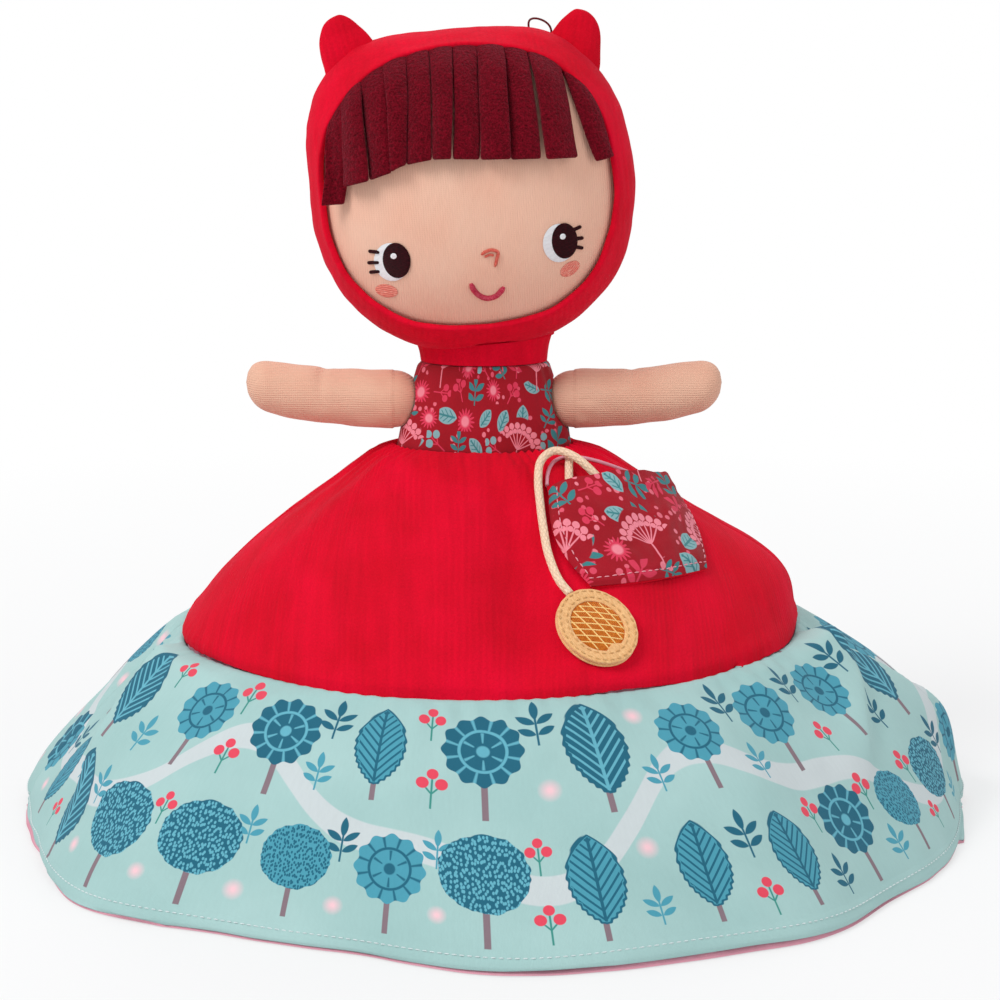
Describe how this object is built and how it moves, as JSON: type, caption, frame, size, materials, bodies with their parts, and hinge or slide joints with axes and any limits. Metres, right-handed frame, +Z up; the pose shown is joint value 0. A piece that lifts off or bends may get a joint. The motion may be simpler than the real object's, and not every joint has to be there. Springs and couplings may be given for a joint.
{
  "type": "topsy turvy doll",
  "caption": "Soft topsy turvy doll: a hooded rag doll above the waist, a second doll upside down under a wide two-tier skirt with a pocket and a charm on a cord.",
  "frame": {"origin": "on the floor under the middle of the skirt's hem", "axes": "+Z up through the upper doll's crown, -Y is the way both dolls face, +X to the upper doll's left hand"},
  "size_m": [0.3546, 0.3604, 0.2998],
  "materials": {
    "red_velour": "soft short pile, matt with a faint sheen",
    "dark_red_print": "printed woven cotton, matt",
    "skin_jersey": "fine ribbed jersey, matt",
    "burgundy_fleece": "short fleece, matt",
    "brown_fleece": "short fleece, matt",
    "aqua_print": "printed woven cotton, matt",
    "pink_lining": "plain woven cotton, matt",
    "tan_felt": "wool felt, matt",
    "amber_satin": "embroidered satin, slight sheen",
    "cream_cord": "knitted cotton cord, matt",
    "dark_thread": "twisted thread, matt",
    "coral_thread": "satin stitch embroidery, slight sheen",
    "white_thread": "satin stitch embroidery, slight sheen"
  },
  "bodies": {
    "body": {"upper_torso": "dark_red_print", "lower_torso": "pink_lining", "skirt_tier_front": "red_velour", "skirt_tier_back": "red_velour", "skirt_flounce_front": "aqua_print", "skirt_flounce_back": "aqua_print", "skirt_lining_front": "pink_lining", "skirt_lining_back": "pink_lining", "pocket_front": "dark_red_print", "pocket_back": "pink_lining", "charm_cord": "cream_cord"},
    "upper_neck": {"upper_neck": "red_velour"},
    "upper_head": {"upper_head": "skin_jersey", "upper_hood": "red_velour", "upper_ear_left": "red_velour", "upper_ear_right": "red_velour", "upper_fringe": "burgundy_fleece", "upper_hanging_loop": "dark_thread"},
    "upper_arm_left": {"upper_arm_left": "skin_jersey"},
    "upper_arm_right": {"upper_arm_right": "skin_jersey"},
    "lower_neck": {"lower_neck": "pink_lining"},
    "lower_head": {"lower_head": "skin_jersey", "lower_bonnet": "pink_lining", "lower_fringe": "brown_fleece"},
    "lower_arm_left": {"lower_arm_left": "skin_jersey"},
    "lower_arm_right": {"lower_arm_right": "skin_jersey"},
    "charm": {"charm_back": "tan_felt", "charm_front": "tan_felt", "charm_lattice": "amber_satin"}
  },
  "joints": [
    {"name": "upper_neck_turn", "type": "hinge", "parent": "body", "child": "upper_neck", "pos_m": [-0.0054, 0, 0.182], "axis": [0, 0, 1], "range_deg": [-40, 40]},
    {"name": "upper_head_tilt", "type": "hinge", "parent": "upper_neck", "child": "upper_head", "pos_m": [-0.0054, 0, 0.182], "axis": [0, 1, 0], "range_deg": [-7, 16]},
    {"name": "upper_arm_left_raise", "type": "hinge", "parent": "body", "child": "upper_arm_left", "pos_m": [0.0276, 0, 0.1573], "axis": [0, -1, 0], "range_deg": [-20, 35]},
    {"name": "upper_arm_right_raise", "type": "hinge", "parent": "body", "child": "upper_arm_right", "pos_m": [-0.0384, 0, 0.1573], "axis": [0, 1, 0], "range_deg": [-20, 35]},
    {"name": "lower_neck_turn", "type": "hinge", "parent": "body", "child": "lower_neck", "pos_m": [-0.0054, 0, 0.10012], "axis": [0, 0, 1], "range_deg": [-40, 40]},
    {"name": "lower_head_tilt", "type": "hinge", "parent": "lower_neck", "child": "lower_head", "pos_m": [-0.0054, 0, 0.10012], "axis": [0, 1, 0], "range_deg": [-5, 5]},
    {"name": "lower_arm_left_raise", "type": "hinge", "parent": "body", "child": "lower_arm_left", "pos_m": [-0.03524, 0, 0.12245], "axis": [0, -1, 0], "range_deg": [-8, 8]},
    {"name": "lower_arm_right_raise", "type": "hinge", "parent": "body", "child": "lower_arm_right", "pos_m": [0.02444, 0, 0.12245], "axis": [0, 1, 0], "range_deg": [-8, 8]},
    {"name": "charm_swing", "type": "hinge", "parent": "body", "child": "charm", "pos_m": [0.02469, -0.08339, 0.1032], "axis": [0.259, -0.6573, 0.7077], "range_deg": [-15, 10]}
  ]
}
